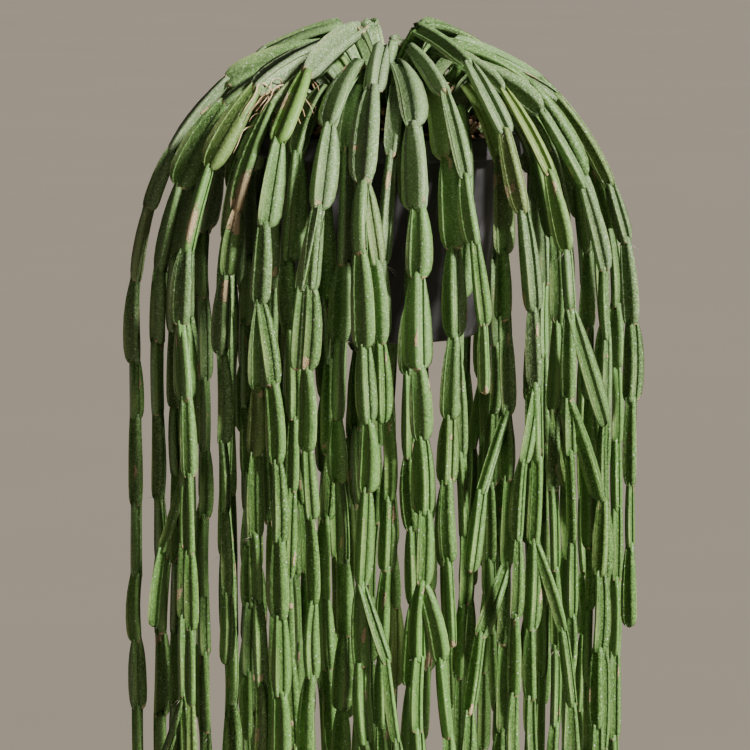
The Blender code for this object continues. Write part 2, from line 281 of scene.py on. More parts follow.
def bark_look():
    """Composted pine bark, broken by hand: flat red-brown chips, paler and fibrous where split."""
    look, tree, shader, place = new_look("Composted pine bark")
    tone = add_node(tree, "ShaderNodeAttribute", {}, "Fac", attribute_name="tone")
    along = add_node(tree, "ShaderNodeMapping", {"Vector": place, "Scale": (1.0, 0.3, 1.0)})
    fibres = add_node(tree, "ShaderNodeTexNoise", {"Vector": along, "Scale": 1.0 / (1.0 * MM), "Detail": 3.0})
    dark = add_node(tree, "ShaderNodeMapRange",
                    {"Value": fibres, "From Min": 0.35, "From Max": 0.7, "To Max": 0.6})
    base = rgba("3A2619")
    for cover, colour in ((tone, "B08C64"), (dark, "24170F")):
        base = add_node(tree, "ShaderNodeMix", {0: cover, 6: base, 7: rgba(colour)}, 2, data_type="RGBA")
    split = add_node(tree, "ShaderNodeBump", {"Height": fibres, "Strength": 0.8, "Distance": 0.5 * MM})
    fill_inputs(tree, shader, {"Base Color": base, "Roughness": 0.9, "Normal": split})
    return look


def root_look():
    """Dead surface roots, bleached and papery: cream with brown knuckles."""
    look, tree, shader, place = new_look("Dried root fibre")
    tone = add_node(tree, "ShaderNodeAttribute", {}, "Fac", attribute_name="tone")
    rings = add_node(tree, "ShaderNodeTexNoise", {"Vector": place, "Scale": 1.0 / (2.0 * MM), "Detail": 3.0})
    knuckles = add_node(tree, "ShaderNodeMapRange", {"Value": rings, "From Min": 0.35, "From Max": 0.7})
    base = rgba("8F6E48")
    for cover, colour in ((knuckles, "D9BC92"), (tone, "E6CFAA")):
        base = add_node(tree, "ShaderNodeMix", {0: cover, 6: base, 7: rgba(colour)}, 2, data_type="RGBA")
    peel = add_node(tree, "ShaderNodeBump", {"Height": rings, "Strength": 0.6, "Distance": 0.4 * MM})
    fill_inputs(tree, shader, {"Base Color": base, "Roughness": 0.85, "Normal": peel})
    return look


def bristle_look():
    """The fine hairs at a joint: horn, grown thin enough to look almost white."""
    look, tree, shader, place = new_look("Areole bristle")
    bands = add_node(tree, "ShaderNodeTexNoise", {"Vector": place, "Scale": 1.0 / (1.5 * MM)})
    base = add_node(tree, "ShaderNodeMix", {0: bands, 6: rgba("B9A98C"), 7: rgba("F2EBDC")}, 2,
                    data_type="RGBA")
    fill_inputs(tree, shader, {"Base Color": base, "Roughness": 0.5})
    return look


def floor_look(settings):
    """Painted plaster: matt, warm and nearly even."""
    look, tree, shader, place = new_look("Warm grey plaster")
    cloud = add_node(tree, "ShaderNodeTexNoise", {"Vector": place, "Scale": 1.6, "Detail": 3.0})
    cloud = add_node(tree, "ShaderNodeMapRange",
                     {"Value": cloud, "From Min": 0.3, "From Max": 0.7, "To Max": 0.2})
    base = add_node(tree, "ShaderNodeMix",
                    {0: cloud, 6: (*settings.plaster, 1.0), 7: rgba("857D73")}, 2, data_type="RGBA")
    fill_inputs(tree, shader, {"Base Color": base, "Roughness": 0.9})
    return look


# ---- where the stems run: the same rules as the CAD solids ----
RIM_RADIUS = 75.0 * MM
LIP_WIDTH = 6.0 * MM
LIP_HEIGHT = 12.0 * MM
LIP_THICKNESS = 2.0 * MM
WALL = 1.6 * MM
POT_HEIGHT = 113.0 * MM
BASE_RADIUS = 50.0 * MM
FOOT_RADIUS = 38.0 * MM
FOOT_RECESS = 3.0 * MM
GAP = 0.3 * MM
MIX_CENTRE = 15.0 * MM
MIX_EDGE = -5.0 * MM
MIX_RADIUS = RIM_RADIUS - LIP_WIDTH - WALL - 1.4 * MM
SEGMENT = 42.0 * MM
LONG_SEGMENT = 51.0 * MM
LONG_SEGMENTS = 2
LENGTH_JITTER = 0.13
SHOULDER_AT = 0.72
BELLY_AT = 0.36
NECK_RADIUS = 3.2 * MM
RNG_SEED = 7
# Arches: foot's and crest's distance from the axis, crest's height, fall to the hanging part, mm.
RINGS = (
    (9.0, 31.0, 57.0, 154.0), (20.0, 39.0, 47.0, 150.0), (31.0, 49.0, 38.0, 138.0),
    (42.0, 59.0, 25.5, 114.0), (56.0, 70.5, 14.5, 72.0),
)
TALL_PLACES = (4, 9, 17, 22, 26)
# Front stems: azimuth in degrees, distance from the axis and depth below the rim in mm.
OUTER_FRONT = (
    (-92, 142, 452), (-76, 131, 408), (-62, 127, 438), (-48, 120, 285), (-34, 126, 461),
    (-20, 123, 417), (-6, 126, 444), (8, 123, 398), (23, 127, 131), (36, 133, 431),
    (50, 129, 457), (64, 132, 420), (75, 124, 389), (87, 136, 278),
)
MIDDLE_FRONT = (
    (-84, 112, 395), (-57, 106, 450), (-31, 102, 372), (-14, 105, 436), (-1, 103, 404),
    (18, 108, 271), (35, 110, 447), (58, 108, 412),
)
INNER_FRONT = (
    (-73, 91, 362), (-46, 89, 425), (-22, 88, 333), (8, 88, 381), (26, 90, 428),
    (70, 91, 350),
)
# Back stems: how many, first and last azimuth, distances that take turns, mean depth.
OUTER_BACK = (14, 99.0, 257.0, (131, 124, 136), 420.0)
MIDDLE_BACK = (8, 105.0, 252.0, (105, 110), 400.0)
INNER_BACK = (7, 115.5, 241.5, (91, 88), 370.0)
DEPTH_WANDER = 34.0
CREST_STEP = 39
# Side shoots: curtain, place, joint, lean sideways and forwards in degrees, number of segments,
# first segment's length in mm.
SIDE_SHOOTS = (
    ("outer", 2, 7, -14, 12, 2, 45), ("outer", 2, 10, -14, 14, 2, 44),
    ("middle", 6, 5, -28, 8, 2, 46), ("middle", 6, 7, -30, 8, 3, 42),
    ("outer", 10, 5, 14, 10, 1, 66), ("outer", 10, 6, 16, 10, 1, 58),
    ("outer", 9, 8, 14, 12, 3, 50), ("outer", 6, 8, 20, 14, 3, 44),
    ("outer", 5, 3, -9, 9, 2, 44), ("outer", 6, 3, 9, 6, 3, 44),
    ("outer", 2, 5, 16, 4, 6, 42), ("outer", 4, 5, 13, 4, 7, 44),
    ("outer", 7, 8, 13, 4, 4, 42), ("outer", 9, 6, -15, 4, 6, 42),
    ("outer", 11, 7, -14, 4, 5, 40), ("middle", 1, 6, 10, 3, 5, 42),
    ("middle", 7, 5, 12, 3, 6, 42), ("outer", 15, 6, -11, 5, 6, 42),
    ("outer", 17, 5, 14, 4, 6, 44), ("outer", 19, 7, -15, 6, 4, 42),
    ("outer", 21, 5, 10, 5, 6, 40), ("outer", 24, 6, -10, 5, 6, 42),
    ("outer", 26, 8, 14, 6, 3, 44), ("middle", 10, 5, 12, 3, 6, 42),
    ("middle", 13, 6, -12, 3, 5, 42),
)


def mix_height(radius):
    """Height of the heaped mix at a distance from the pot's axis: a paraboloid."""
    return MIX_CENTRE + (MIX_EDGE - MIX_CENTRE) * (radius / MIX_RADIUS) ** 2


def spread_back(count, first, last, radii, depth):
    """Stems of the back half: even azimuths, radii that take turns, depths that wander."""
    return [(azimuth, radii[place % len(radii)], depth + DEPTH_WANDER * math.sin(2.3 * place + first))
            for place, azimuth in enumerate(np.linspace(first, last, count))]


def curtains():
    """Every stem of the three curtains, front and back, in order of azimuth."""
    return {
        "outer": list(OUTER_FRONT) + spread_back(*OUTER_BACK),
        "middle": list(MIDDLE_FRONT) + spread_back(*MIDDLE_BACK),
        "inner": list(INNER_FRONT) + spread_back(*INNER_BACK),
    }


def ring_of(curtain, place):
    """The ring from which a stem grows: a few of the outer curtain arch high over the rest."""
    if curtain == "outer":
        return RINGS[0] if place in TALL_PLACES else RINGS[1 + place % 2]
    return RINGS[3] if curtain == "middle" else RINGS[4]


def arch(ring, base_azimuth, azimuth, hang_radius, depth, rng):
    """Fine points along a stem's middle: up out of the mix, over its crest, and straight down.

    The rise and the fall are quarter ellipses that meet level at the crest, and the
    azimuth swings from the foot's to the hanging part's as the stem reaches outwards.
    """
    base_radius, crest_radius, crest, fall = (value * MM for value in ring)
    foot = mix_height(base_radius - NECK_RADIUS) + GAP
    turn = np.linspace(0.0, math.pi / 2.0, CREST_STEP + 1)
    rise_r = crest_radius - (crest_radius - base_radius) * np.cos(turn)
    rise_z = foot + (crest - foot) * np.sin(turn)
    fall_r = crest_radius + (hang_radius - crest_radius) * np.sin(turn)
    fall_z = crest - fall * (1.0 - np.cos(turn))
    hang_z = np.linspace(crest - fall, -depth, 60)
    radius = np.concatenate([rise_r, fall_r[1:], np.full(59, hang_radius)])
    height = np.concatenate([rise_z, fall_z[1:], hang_z[1:]])
    reach = np.clip((radius - base_radius) / (hang_radius - base_radius), 0.0, 1.0)
    angle = np.radians(base_azimuth + (azimuth - base_azimuth) * reach)
    wave = 2.0 * MM * reach * np.sin(height / (34.0 * MM) + rng.uniform(0.0, 6.3))
    angle = angle + wave / np.maximum(radius, 20.0 * MM)
    return np.stack([radius * np.sin(angle), -radius * np.cos(angle), height], axis=1)


def stations(count):
    """Places along a chain of segments: joint, belly and shoulder of each one, then the tip."""
    steps = [segment + part for segment in range(count) for part in (0.0, BELLY_AT, SHOULDER_AT)]
    return np.array(steps + [count], float)


def joint_places(rise, length, rng):
    """Distances of the joints along a stem: one at the crest, long segments after it, then even ones."""
    long_end = rise + LONG_SEGMENTS * LONG_SEGMENT
    short_count = max(1, round((length - long_end) / SEGMENT))
    first = [0.0] + [rise + place * LONG_SEGMENT for place in range(LONG_SEGMENTS)]
    joints = np.concatenate([first, np.linspace(long_end, length, short_count + 1)])
    joints[2:-1] += rng.uniform(-1.0, 1.0, len(joints) - 3) * LENGTH_JITTER * SEGMENT
    return joints


def chain(curve, rng):
    """Points at the stations of a stem that follows a fine curve."""
    run = np.concatenate([[0.0], np.cumsum(np.linalg.norm(np.diff(curve, axis=0), axis=1))])
    joints = joint_places(run[CREST_STEP], run[-1], rng)
    count = len(joints) - 1
    along = np.interp(stations(count), np.arange(count + 1), joints)
    return np.stack([np.interp(along, run, curve[:, axis]) for axis in range(3)], axis=1)


def shoot_chain(stem, joint, lean, forward, count, first_length):
    """Points of a side shoot that leaves a joint leaning, then hangs ever straighter."""
    start = stem["points"][3 * joint]
    outward = np.array([start[0], start[1], 0.0]) / np.linalg.norm(start[:2])
    sideways = np.array([-outward[1], outward[0], 0.0])
    corners = [start]
    for segment in range(count):
        ease = 0.4 ** segment
        length = first_length * MM if segment == 0 else SEGMENT
        side = math.tan(math.radians(lean * ease))
        front = math.tan(math.radians(forward * ease))
        way = sideways * side + outward * front - np.array([0.0, 0.0, 1.0])
        corners.append(corners[-1] + length * way / np.linalg.norm(way))
    corners = np.array(corners)
    return np.stack([np.interp(stations(count), range(count + 1), corners[:, axis])
                     for axis in range(3)], axis=1)


def all_stems():
    """Every stem with its side shoots: where it runs, and the CAD node that it stands for."""
    rng = np.random.default_rng(RNG_SEED)
    stems = []
    for curtain, rows in curtains().items():
        azimuths = np.array([row[0] for row in rows], float)
        even = np.arange(len(rows)) * 360.0 / len(rows)
        even += np.mean(azimuths - even)
        for place, (azimuth, hang_radius, depth) in enumerate(rows):
            ring = ring_of(curtain, place)
            curve = arch(ring, even[place], azimuth, hang_radius * MM, depth * MM, rng)
            stems.append({"label": (curtain, place), "points": chain(curve, rng), "shoots": [],
                          "node": f"stem_{len(stems) + 1:02d}"})
    by_label = {stem["label"]: stem for stem in stems}
    for curtain, place, *numbers in SIDE_SHOOTS:
        parent = by_label[curtain, place]
        parent["shoots"].append(shoot_chain(parent, *numbers))
    return stems


# ---- stems ----
WING_COUNT = 3
RISE = np.array([0.0, 0.13, 0.3, 0.55, 0.8, 1.0])
ROUNDING = np.radians([34.0, 62.0, 84.0])
WING_SIDES = np.array([0.0, 0.2, 1.0, -0.2])
WING_TURN = math.radians(60.0)
WING_SPREAD = math.radians(13.0)
STEM_TWIST = math.radians(13.0)
RIDGE_POWER = 2.5
FULL_AT = 0.7
CORE_SHARE = 0.53
SLIM_BELOW = 200.0 * MM
STOUTER_NECK = 0.11
CREST_NECK = 1.8
FACING_ODDS = 0.55
SCAR_ODDS = 0.06
DRY_END_ODDS = 0.35
YOUNG_WIDTH = (0.72, 0.95)

# Marks that single segments carry: (curtain, place, segment) against the values that they
# change, where spot is how far along the segment a scar lies and how wide it is in mm.
MARKS = {
    ("outer", 4, 2): {"tone": 1.0, "dust": 0.0, "gold": 0.12},
    ("outer", 3, 2): {"spot": (0.84, 13.0), "dust": 0.2, "tone": 0.8},
    ("outer", 3, 3): {"spot": (0.1, 8.0), "dust": 0.2},
    ("outer", 3, 4): {"spot": (0.2, 5.0)},
    ("outer", 2, 3): {"spot": (0.75, 8.0), "tone": 0.75, "dust": 0.1},
    ("outer", 2, 2): {"gold": 0.15, "dust": 0.2, "tone": 0.6},
    ("outer", 9, 3): {"gold": 0.2, "dust": 0.3},
    ("outer", 10, 2): {"gold": 0.3, "tone": 0.9, "dust": 0.2},
    ("outer", 10, 3): {"spot": (0.3, 4.0), "tone": 0.7},
    ("outer", 6, 1): {"dust": 1.0},
    ("outer", 6, 2): {"dust": 0.75},
    ("outer", 5, 2): {"dust": 0.7},
    ("outer", 8, 2): {"dust": 0.6},
    ("outer", 8, 5): {"tone": 0.85, "spot": (1.0, 3.5)},
    ("middle", 4, 2): {"dust": 0.6, "spot": (0.35, 3.0)},
    ("middle", 4, 1): {"dust": 1.0},
    ("middle", 3, 2): {"dust": 0.65},
    ("middle", 5, 7): {"spot": (1.0, 4.0)},
}


def segment_grid(starts, ends, bows, outward, width, necks, wings, gaps, taper, shoulder, spin):
    """Skins of a run of three-winged segments, all at once: (segments, rings, around, 3).

    Along a segment u runs from 0 to 1.  A wing's reach is the neck's radius, plus
    1 - (1 - u / 0.7)^taper of the rest up to the shoulder; from there to the end it falls as
    a quarter of a circle does, down to the neck again.  Round the segment, the radius is
    the core's plus (1 - |a|)^2.5 of the way out to the wing's reach, where a runs from 0 on
    a wing's edge to 1 in the valley beside it.  The core grows from the neck to about half
    the wings' reach.  The middle line is the chord plus a parabola's bow.
    """
    rise = RISE * shoulder[:, None]
    close = shoulder[:, None] + (1.0 - shoulder[:, None]) * np.sin(ROUNDING)
    along = np.concatenate([rise, close], axis=1)
    full = 1.0 - (1.0 - np.clip(along / FULL_AT, 0.0, 1.0)) ** taper[:, None]
    turned = np.clip((along - shoulder[:, None]) / (1.0 - shoulder[:, None]), 0.0, 1.0)
    full = full * np.sqrt(np.clip(1.0 - turned ** 2, 0.0, 1.0))
    neck = necks[:-1, None] * (1.0 - along) + necks[1:, None] * along
    core = neck + np.maximum(CORE_SHARE * width[:, None] - neck, 0.0) * np.sqrt(full)

    ridge = np.tile((1.0 - np.abs(WING_SIDES)) ** RIDGE_POWER, WING_COUNT)
    around = np.arange(WING_COUNT) * 2.0 * math.pi / WING_COUNT + gaps
    ahead = (np.roll(around, -1, axis=1) - around) % (2.0 * math.pi) / 2.0
    behind = np.roll(ahead, 1, axis=1)
    angle = around[..., None] + ahead[..., None] * np.clip(WING_SIDES, 0.0, 1.0)
    angle = angle + behind[..., None] * np.clip(WING_SIDES, -1.0, 0.0)
    angle = angle.reshape(len(starts), 1, -1) + spin[:, None, None]
    reach = neck[..., None] + (width[:, None, None] * wings[:, None] - neck[..., None]) * full[..., None]
    reach = np.repeat(reach, len(WING_SIDES), axis=2)
    radius = core[..., None] + np.maximum(reach - core[..., None], 0.0) * ridge
    chord = ends - starts
    way = unit(chord)
    side = unit(outward - (outward * way).sum(axis=1, keepdims=True) * way)
    other = np.cross(way, side)
    middle = starts[:, None] + chord[:, None] * along[:, :, None]
    middle = middle + bows[:, None] * (4.0 * along * (1.0 - along))[:, :, None]
    skin = (middle[:, :, None]
            + side[:, None, None] * (radius * np.cos(angle))[..., None]
            + other[:, None, None] * (radius * np.sin(angle))[..., None])
    return skin, ridge * np.sqrt(full)[..., None], along


def chain_shape(points, settings, rng, young, slender):
    """The numbers that shape each segment of a chain whose stations are given.

    Segments are broad on the crown and slimmer the further they hang, while their necks get
    stouter, and a stem's own crest joint is nearly twice as broad as the others.  The wings
    of each segment stand 60 degrees on from those of the one before.  One wing of each is
    short, more often than not the one that points straight out or straight in, and the
    other two spread away from each other, so that one segment looks broad and the next narrow.
    """
    joints = points[::3]
    count = len(joints) - 1
    starts, ends = joints[:-1], joints[1:]
    belly = points[1::3] - (starts + (ends - starts) * BELLY_AT)
    starts = starts - (ends - starts) * settings.tuck
    bows = belly * settings.springiness / (4.0 * BELLY_AT * (1.0 - BELLY_AT))
    bows = bows + rng.normal(0.0, 0.6 * MM, (count, 3)) * np.array([1.0, 1.0, 0.0])
    middle = (starts + ends) / 2.0
    outward = middle * np.array([1.0, 1.0, 0.0])
    slimming = 1.0 - settings.slimming * smooth_step(-middle[:, 2], 0.0, SLIM_BELOW)
    widths = settings.wing_reach * slimming * rng.uniform(0.86, 1.12, count) * rng.uniform(0.88, 1.08)
    widths[:len(young)] *= young[:count]
    widths[count - slender:] *= 0.8
    every = np.arange(count)
    turns = every + rng.integers(0, 6)
    spin = rng.normal(0.0, STEM_TWIST) + WING_TURN * turns
    facing = (3 * (turns % 2) - turns) // 2 % WING_COUNT
    short = np.where(rng.random(count) < FACING_ODDS, facing, rng.integers(0, WING_COUNT, count))
    wings = rng.uniform(0.86, 1.12, (count, WING_COUNT))
    gaps = rng.normal(0.0, math.radians(6.0), (count, WING_COUNT))
    wings[every, short] *= rng.uniform(0.45, 0.8, count)
    gaps[every, (short + 1) % WING_COUNT] -= WING_SPREAD
    gaps[every, (short + 2) % WING_COUNT] += WING_SPREAD
    necks = np.concatenate([widths[:1], (widths[:-1] + widths[1:]) / 2.0, widths[-1:] * 0.6])
    stouter = STOUTER_NECK * smooth_step(-joints[:, 2], 0.0, SLIM_BELOW)
    necks *= (settings.neck_share + stouter) * rng.uniform(0.85, 1.2, count + 1)
    necks[1:1 + len(young) // 2] *= CREST_NECK
    return {
        "starts": starts, "ends": ends, "bows": bows, "outward": outward, "width": widths,
        "necks": necks, "wings": wings, "gaps": gaps,
        "taper": rng.uniform(1.8, 3.0, count), "shoulder": rng.uniform(0.72, 0.87, count),
        "spin": spin + rng.normal(0.0, math.radians(6.0), count),
    }


def skin_story(skin, along, label, rng, stem_tone):
    """Tone, dust, scar, gold and end at each point of a chain's skin.

    Dust is thickest on the crown and thins out down to 230 mm below the rim.  A scar is a
    soft-edged patch on about one segment in seventeen, and about one in three has a dry end.
    Gold is the yellow of an ageing segment, and end is 1 at a segment's joints.
    """
    count, rings, around = skin.shape[:3]
    height = skin[..., 2]
    flat = np.ones_like(height)
    tone = stem_tone + rng.normal(0.0, 0.13, count)
    fall = smooth_step(height.mean(axis=(1, 2)), -230.0 * MM, 40.0 * MM)
    dust = rng.beta(1.8, 1.8, count) * (0.1 + 0.9 * fall)
    gold = np.where(rng.random(count) < 0.03, rng.uniform(0.05, 0.18, count), 0.0)
    centre = skin.reshape(count, -1, 3)[np.arange(count), rng.integers(0, rings * around, count)]
    size = np.where(rng.random(count) < SCAR_ODDS, rng.uniform(2.5, 5.0, count), 0.0)
    for place in range(count):
        mark = MARKS.get((*label, place), {})
        tone[place] = mark.get("tone", tone[place])
        dust[place] = mark.get("dust", dust[place])
        gold[place] = mark.get("gold", gold[place])
        if "spot" in mark:
            share, size[place] = mark["spot"]
            ring = skin[place, np.argmin(np.abs(along[place] - share))]
            centre[place] = ring[np.argmin(ring[:, 1])]
    apart = np.linalg.norm((skin - centre[:, None, None]) * np.array([1.0, 1.0, 0.5]), axis=-1)
    scar = np.clip(1.2 - apart / (np.maximum(size, 0.01) * MM)[:, None, None], 0.0, 1.0)
    dry_ends = 0.58 * (rng.random(count) < DRY_END_ODDS)
    dry = smooth_step(along, 0.93, 1.0)[:, :, None] * dry_ends[:, None, None]
    end = 1.0 - smooth_step(along, 0.0, 0.1) * (1.0 - smooth_step(along, 0.95, 1.0))
    wide = {"tone": tone, "dust": dust, "gold": gold}
    story = {key: value[:, None, None] * flat for key, value in wide.items()}
    return {**story, "scar": np.maximum(scar, dry) * flat, "end": end[:, :, None] * flat}


def close_segments(skin, values):
    """Points, faces and values of closed segments: each grid's ends rise to a low cone.

    A cone's point lies beyond the middle of the last ring, 0.6 of that ring's radius away.
    """
    count, rings, around = skin.shape[:3]
    per_segment = rings * around + 2
    quads = grid_faces(rings, around, True)
    turn = np.arange(around)
    low = np.stack([np.full(around, rings * around), (turn + 1) % around, turn], axis=1)
    last = (rings - 1) * around
    high = np.stack([np.full(around, rings * around + 1), last + turn, last + (turn + 1) % around], axis=1)
    rims = skin[:, [0, -1]]
    poles = rims.mean(axis=2)
    heights = 0.6 * np.linalg.norm(rims - poles[:, :, None], axis=-1).mean(axis=2)
    away = unit(poles[:, 1] - poles[:, 0])
    poles += np.stack([-away, away], axis=1) * heights[..., None]
    points = np.concatenate([skin.reshape(count, -1, 3), poles], axis=1)
    offsets = (np.arange(count) * per_segment)[:, None, None]
    faces = (quads + offsets).reshape(-1, 4).tolist()
    faces += (np.concatenate([low, high]) + offsets).reshape(-1, 3).tolist()
    filled = {}
    for key, value in values.items():
        ends = np.stack([value[:, 0].mean(axis=1), value[:, -1].mean(axis=1)], axis=1)
        filled[key] = np.concatenate([value.reshape(count, -1), ends], axis=1)
    return points.reshape(-1, 3), faces, {key: value.ravel() for key, value in filled.items()}


def build_stem(stem, settings, look, rng):
    """One stem with its side shoots as a single piece, in the place of its CAD node."""
    stem_tone = 0.5 + rng.normal(0.0, 0.09)
    chains = [(stem["points"], YOUNG_WIDTH, 1, stem["label"])]
    chains += [(points, (), 0, ("shoot", place)) for place, points in enumerate(stem["shoots"])]
    points, faces, fields = [], [], {}
    for run, young, slender, label in chains:
        skin, edge, along = segment_grid(**chain_shape(run, settings, rng, young, slender))
        story = skin_story(skin, along, label, rng, stem_tone)
        # The ridge value carries the painted highlight along the wing edges.
        story["ridge"] = edge
        more, quads, values = close_segments(skin, story)
        shift = sum(len(part) for part in points)
        faces += [[corner + shift for corner in face] for face in quads]
        points.append(more)
        for key, value in values.items():
            fields.setdefault(key, []).append(value)
    fields = {key: np.concatenate(parts) for key, parts in fields.items()}
    piece = make_piece(f"{stem['node']}_skin", np.concatenate(points), faces, look, fields)
    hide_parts(stem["node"])
    return piece


# ---- joint bristles ----
def tube(path, radii, sides):
    """A closed tube: a regular polygon of sides carried along a path, with a radius at each point."""
    way = unit(np.gradient(path, axis=0))
    helper = np.where(np.abs(way[:, 2:]) > 0.9, [[1.0, 0.0, 0.0]], [[0.0, 0.0, 1.0]])
    side = unit(np.cross(helper, way))
    other = np.cross(way, side)
    turn = np.arange(sides) * 2.0 * math.pi / sides
    ring = side[:, None] * np.cos(turn)[:, None] + other[:, None] * np.sin(turn)[:, None]
    points = (path[:, None] + ring * radii[:, None, None]).reshape(-1, 3)
    faces = grid_faces(len(path), sides, True).tolist()
    faces.append(list(range(sides))[::-1])
    faces.append([(len(path) - 1) * sides + corner for corner in range(sides)])
    return points, faces


def merged(parts):
    """Points and faces of several shapes as one, and which shape each point came from."""
    shift = np.cumsum([0] + [len(points) for points, _ in parts])
    faces = [[corner + start for corner in face]
             for (_, quads), start in zip(parts, shift) for face in quads]
    owner = np.repeat(np.arange(len(parts)), np.diff(shift))
    return np.concatenate([points for points, _ in parts]), faces, owner


def build_bristles(stems, settings, look):
    """Tufts of fine hairs at some joints: each hair a thin bent cone, sprung out and down."""
    rng = np.random.default_rng(41)
    hairs = []
    steps = np.linspace(0.0, 1.0, 4)[:, None]
    for stem in stems:
        joints = stem["points"][6:-1:3]
        for joint in joints[rng.random(len(joints)) < settings.tuft_share]:
            for _ in range(rng.integers(3, 8)):
                spring = unit(rng.normal(size=3) * np.array([1.0, 1.0, 0.5]) - np.array([0.0, 0.0, 0.5]))
                length = rng.uniform(3.0, 8.0) * MM
                root = joint + spring * 1.8 * MM
                path = root + spring * steps * length - np.array([0.0, 0.0, 0.3]) * steps ** 2 * length
                hairs.append(tube(path, 0.13 * MM * (1.15 - steps[:, 0]), 3))
    points, faces, _ = merged(hairs)
    return make_piece("joint_bristles", points, faces, look)


# ---- pot and root ball ----
def arc(centre, radius, start, end, count):
    """Points of a rounded corner: (radius, height) pairs on a circle from start to end degrees."""
    turn = np.radians(np.linspace(start, end, count))
    return list(zip(centre[0] + radius * np.cos(turn), centre[1] + radius * np.sin(turn)))


def pot_outline():
    """The pot's section, from the middle of its floor up the inside, over the lip, and back below."""
    top = RIM_RADIUS - LIP_WIDTH
    floor = -POT_HEIGHT + FOOT_RECESS
    lip = RIM_RADIUS - LIP_THICKNESS
    edge = 1.1 * MM
    outline = [(0.0, floor + WALL), (BASE_RADIUS - WALL - 3.0 * MM, floor + WALL)]
    outline += arc((BASE_RADIUS - WALL - 3.0 * MM, floor + WALL + 3.4 * MM), 3.4 * MM, -80.0, -8.0, 6)
    outline += [(top - WALL, -LIP_THICKNESS)]
    outline += arc((top - WALL + edge, -edge), edge, 170.0, 90.0, 5)
    outline += arc((RIM_RADIUS - edge, -edge), edge, 90.0, 0.0, 6)
    outline += [(RIM_RADIUS, -LIP_HEIGHT + 4.2 * MM), (RIM_RADIUS + 0.35 * MM, -LIP_HEIGHT + 3.4 * MM)]
    outline += arc((RIM_RADIUS - 0.45 * MM, -LIP_HEIGHT + 0.8 * MM), 0.8 * MM, 0.0, -90.0, 5)
    outline += [(lip, -LIP_HEIGHT), (lip, -LIP_THICKNESS - 0.8 * MM), (lip - 0.8 * MM, -LIP_THICKNESS)]
    outline += [(top + 0.8 * MM, -LIP_THICKNESS), (top - 0.1 * MM, -LIP_THICKNESS - 0.8 * MM)]
    outline += [(BASE_RADIUS + 2.0 * MM, -POT_HEIGHT + 9.0 * MM)]
    outline += arc((BASE_RADIUS - 2.6 * MM, -POT_HEIGHT + 2.6 * MM), 2.6 * MM, 8.0, -90.0, 8)
    outline += [(FOOT_RADIUS, -POT_HEIGHT), (FOOT_RADIUS - 1.0 * MM, -POT_HEIGHT + 0.6 * MM)]
    outline += [(FOOT_RADIUS - 2.0 * MM, floor), (0.0, floor)]
    return np.array(outline)


def fine_outline(outline, step):
    """An outline with points no further apart than a step."""
    lengths = np.linalg.norm(np.diff(outline, axis=0), axis=1)
    places = [0.0]
    for place, length in enumerate(lengths):
        count = max(1, math.ceil(length / step))
        places += list(place + np.arange(1, count + 1) / count)
    return np.stack([np.interp(places, np.arange(len(outline)), outline[:, axis]) for axis in (0, 1)], axis=1)


def turn_about(outline, sides):
    """A closed surface of revolution about +Z from an outline that starts and ends on the axis.

    The outline runs outwards over the top and back below, so the columns go round clockwise
    seen from above, which keeps the faces pointing out.
    """
    turn = -np.arange(sides) * 2.0 * math.pi / sides
    inner = outline[1:-1]
    points = np.stack([np.outer(inner[:, 0], np.cos(turn)), np.outer(inner[:, 0], np.sin(turn)),
                       np.repeat(inner[:, 1:], sides, axis=1)], axis=-1).reshape(-1, 3)
    first, last = len(points), len(points) + 1
    points = np.concatenate([points, [[0.0, 0.0, outline[0, 1]], [0.0, 0.0, outline[-1, 1]]]])
    faces = grid_faces(len(inner), sides, True)[:, ::-1].tolist()
    row = (len(inner) - 1) * sides
    faces += [[first, side, (side + 1) % sides] for side in range(sides)]
    faces += [[last, row + (side + 1) % sides, row + side] for side in range(sides)]
    return points, faces


def drill(piece, radius, circle, count, height):
    """Cuts a ring of upright round holes through a piece and keeps the result as its mesh."""
    for place in range(count):
        angle = 2.0 * math.pi * (place + 0.5) / count
        bm = bmesh.new()
        bmesh.ops.create_cone(bm, cap_ends=True, segments=32, radius1=radius, radius2=radius, depth=8.0 * MM)
        bmesh.ops.translate(bm, verts=bm.verts,
                            vec=(circle * math.cos(angle), circle * math.sin(angle), height))
        mesh = bpy.data.meshes.new("hole")
        bm.to_mesh(mesh)
        bm.free()
        tool = bpy.data.objects.new("hole", mesh)
        bpy.context.scene.collection.objects.link(tool)
        cut = piece.modifiers.new("Hole", "BOOLEAN")
        cut.operation = "DIFFERENCE"
        cut.object = tool
        depsgraph = bpy.context.evaluated_depsgraph_get()
        result = bpy.data.meshes.new_from_object(piece.evaluated_get(depsgraph))
        piece.modifiers.remove(cut)
        piece.data = result
        bpy.data.objects.remove(tool)


